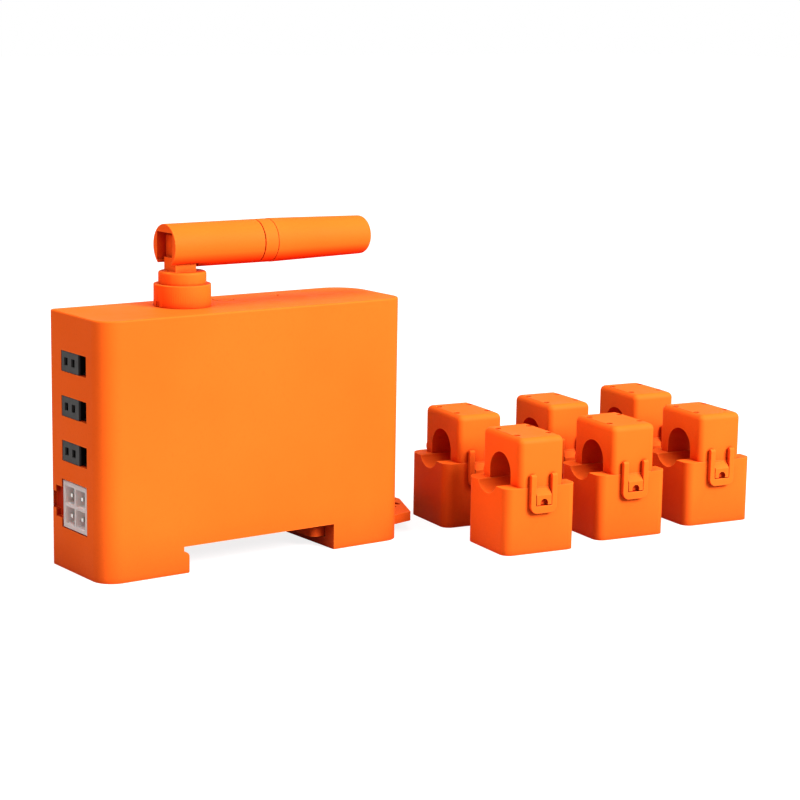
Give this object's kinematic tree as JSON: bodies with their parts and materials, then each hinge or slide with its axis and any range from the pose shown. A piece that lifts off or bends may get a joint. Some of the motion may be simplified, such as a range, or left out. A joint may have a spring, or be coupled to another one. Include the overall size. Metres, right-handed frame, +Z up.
{
  "type": "smart energy monitor",
  "caption": "Rail-mount smart energy monitor with folding antenna, sprung rail slider and a set of hinged split-core current clamps with latches.",
  "frame": {"origin": "centre of the rail seat, the ceiling of the notch under the monitor", "axes": "+X to the right of the monitor's front face, +Y to its back, +Z up away from the rail"},
  "size_m": [0.1524, 0.0489, 0.0678],
  "materials": {
    "orange_plastic": "fine satin moulding",
    "grey_plastic": "dark grey moulding",
    "white_plastic": "plain white nylon",
    "plated_metal": "tin plated",
    "steel": "zinc plated",
    "circuit_board": "green solder mask",
    "black_plastic": "black moulding",
    "blue_coating": "dipped coating",
    "yellow_tape": "polyester tape",
    "clear_plastic": "clear moulding",
    "ferrite": "dark ceramic"
  },
  "bodies": {
    "monitor_and_clamp_bases": {"antenna_base": "orange_plastic", "antenna_nut": "steel", "bulk_capacitors": "black_plastic", "case_shell": "orange_plastic", "clamp_1_base": "orange_plastic", "clamp_2_base": "orange_plastic", "clamp_3_base": "orange_plastic", "clamp_4_base": "orange_plastic", "clamp_5_base": "orange_plastic", "clamp_6_base": "orange_plastic", "clamp_coils": "yellow_tape", "clamp_cores": "ferrite", "clamp_hinge_pins": "steel", "cover_screws": "steel", "fuse": "black_plastic", "header_pins": "plated_metal", "left_socket_1": "grey_plastic", "left_socket_2": "grey_plastic", "left_socket_3": "grey_plastic", "light_pipe": "clear_plastic", "main_board": "circuit_board", "metering_chip": "black_plastic", "radio_module": "circuit_board", "rear_cover": "orange_plastic", "right_socket_1": "grey_plastic", "right_socket_2": "grey_plastic", "right_socket_3": "grey_plastic", "shield_can": "plated_metal", "slider_spring": "steel", "socket_contacts": "plated_metal", "status_light": "clear_plastic", "tact_switch": "black_plastic", "terminal_header": "white_plastic", "transformer": "yellow_tape", "varistor": "blue_coating"},
    "antenna_swivel_body": {"antenna_swivel": "orange_plastic"},
    "antenna_arm": {"antenna_tube": "orange_plastic", "antenna_ring": "orange_plastic", "antenna_sleeve": "orange_plastic", "antenna_radiator": "circuit_board"},
    "slider": {"rail_slider": "orange_plastic"},
    "button": {"reset_button": "orange_plastic"},
    "clamp_1_jaw_body": {"clamp_1_jaw": "orange_plastic", "clamp_1_jaw_core": "ferrite"},
    "clamp_1_latch_body": {"clamp_1_latch": "orange_plastic"},
    "clamp_2_jaw_body": {"clamp_2_jaw": "orange_plastic", "clamp_2_jaw_core": "ferrite"},
    "clamp_2_latch_body": {"clamp_2_latch": "orange_plastic"},
    "clamp_3_jaw_body": {"clamp_3_jaw": "orange_plastic", "clamp_3_jaw_core": "ferrite"},
    "clamp_3_latch_body": {"clamp_3_latch": "orange_plastic"},
    "clamp_4_jaw_body": {"clamp_4_jaw": "orange_plastic", "clamp_4_jaw_core": "ferrite"},
    "clamp_4_latch_body": {"clamp_4_latch": "orange_plastic"},
    "clamp_5_jaw_body": {"clamp_5_jaw": "orange_plastic", "clamp_5_jaw_core": "ferrite"},
    "clamp_5_latch_body": {"clamp_5_latch": "orange_plastic"},
    "clamp_6_jaw_body": {"clamp_6_jaw": "orange_plastic", "clamp_6_jaw_core": "ferrite"},
    "clamp_6_latch_body": {"clamp_6_latch": "orange_plastic"}
  },
  "joints": [
    {"name": "antenna_turn", "type": "hinge", "parent": "monitor_and_clamp_bases", "child": "antenna_swivel_body", "pos_m": [-0.0103, 0.0022, 0.05034], "axis": [0, 0, 1], "range_deg": [-170, 170]},
    {"name": "antenna_fold", "type": "hinge", "parent": "antenna_swivel_body", "child": "antenna_arm", "pos_m": [-0.0108, 0.0022, 0.05792], "axis": [0, -1, 0], "range_deg": [0, 90]},
    {"name": "slider_pull", "type": "slide", "parent": "monitor_and_clamp_bases", "child": "slider", "axis": [1, 0, 0], "range_m": [0, 0.0034], "stiffness_N_per_m": 300, "deforming": ["slider_spring"]},
    {"name": "button_press", "type": "slide", "parent": "monitor_and_clamp_bases", "child": "button", "axis": [0, 0, -1], "range_m": [0, 0.0003], "stiffness_N_per_m": 400},
    {"name": "clamp_1_open", "type": "hinge", "parent": "monitor_and_clamp_bases", "child": "clamp_1_jaw_body", "pos_m": [0.05449, -0.02161, 0.0097], "axis": [-0.9898, 0.1426, 0], "range_deg": [0, 90], "deforming": ["clamp_1_latch"]},
    {"name": "clamp_1_latch_flex", "type": "hinge", "parent": "clamp_1_jaw_body", "child": "clamp_1_latch_body", "pos_m": [0.05234, -0.03653, 0.0109], "axis": [-0.9898, 0.1426, 0], "range_deg": [0, 12], "stiffness_Nm_per_rad": 0.002},
    {"name": "clamp_2_open", "type": "hinge", "parent": "monitor_and_clamp_bases", "child": "clamp_2_jaw_body", "pos_m": [0.07939, -0.02191, 0.0097], "axis": [-0.9898, 0.1426, 0], "range_deg": [0, 90], "deforming": ["clamp_2_latch"]},
    {"name": "clamp_2_latch_flex", "type": "hinge", "parent": "clamp_2_jaw_body", "child": "clamp_2_latch_body", "pos_m": [0.07724, -0.03683, 0.0109], "axis": [-0.9898, 0.1426, 0], "range_deg": [0, 12], "stiffness_Nm_per_rad": 0.002},
    {"name": "clamp_3_open", "type": "hinge", "parent": "monitor_and_clamp_bases", "child": "clamp_3_jaw_body", "pos_m": [0.10429, -0.02221, 0.0097], "axis": [-0.9898, 0.1426, 0], "range_deg": [0, 90], "deforming": ["clamp_3_latch"]},
    {"name": "clamp_3_latch_flex", "type": "hinge", "parent": "clamp_3_jaw_body", "child": "clamp_3_latch_body", "pos_m": [0.10214, -0.03713, 0.0109], "axis": [-0.9898, 0.1426, 0], "range_deg": [0, 12], "stiffness_Nm_per_rad": 0.002},
    {"name": "clamp_4_open", "type": "hinge", "parent": "monitor_and_clamp_bases", "child": "clamp_4_jaw_body", "pos_m": [0.05879, 0.00439, 0.0097], "axis": [-0.9898, 0.1426, 0], "range_deg": [0, 90], "deforming": ["clamp_4_latch"]},
    {"name": "clamp_4_latch_flex", "type": "hinge", "parent": "clamp_4_jaw_body", "child": "clamp_4_latch_body", "pos_m": [0.05664, -0.01053, 0.0109], "axis": [-0.9898, 0.1426, 0], "range_deg": [0, 12], "stiffness_Nm_per_rad": 0.002},
    {"name": "clamp_5_open", "type": "hinge", "parent": "monitor_and_clamp_bases", "child": "clamp_5_jaw_body", "pos_m": [0.08369, 0.00409, 0.0097], "axis": [-0.9898, 0.1426, 0], "range_deg": [0, 90], "deforming": ["clamp_5_latch"]},
    {"name": "clamp_5_latch_flex", "type": "hinge", "parent": "clamp_5_jaw_body", "child": "clamp_5_latch_body", "pos_m": [0.08154, -0.01083, 0.0109], "axis": [-0.9898, 0.1426, 0], "range_deg": [0, 12], "stiffness_Nm_per_rad": 0.002},
    {"name": "clamp_6_open", "type": "hinge", "parent": "monitor_and_clamp_bases", "child": "clamp_6_jaw_body", "pos_m": [0.10859, 0.00379, 0.0097], "axis": [-0.9898, 0.1426, 0], "range_deg": [0, 90], "deforming": ["clamp_6_latch"]},
    {"name": "clamp_6_latch_flex", "type": "hinge", "parent": "clamp_6_jaw_body", "child": "clamp_6_latch_body", "pos_m": [0.10644, -0.01113, 0.0109], "axis": [-0.9898, 0.1426, 0], "range_deg": [0, 12], "stiffness_Nm_per_rad": 0.002}
  ]
}
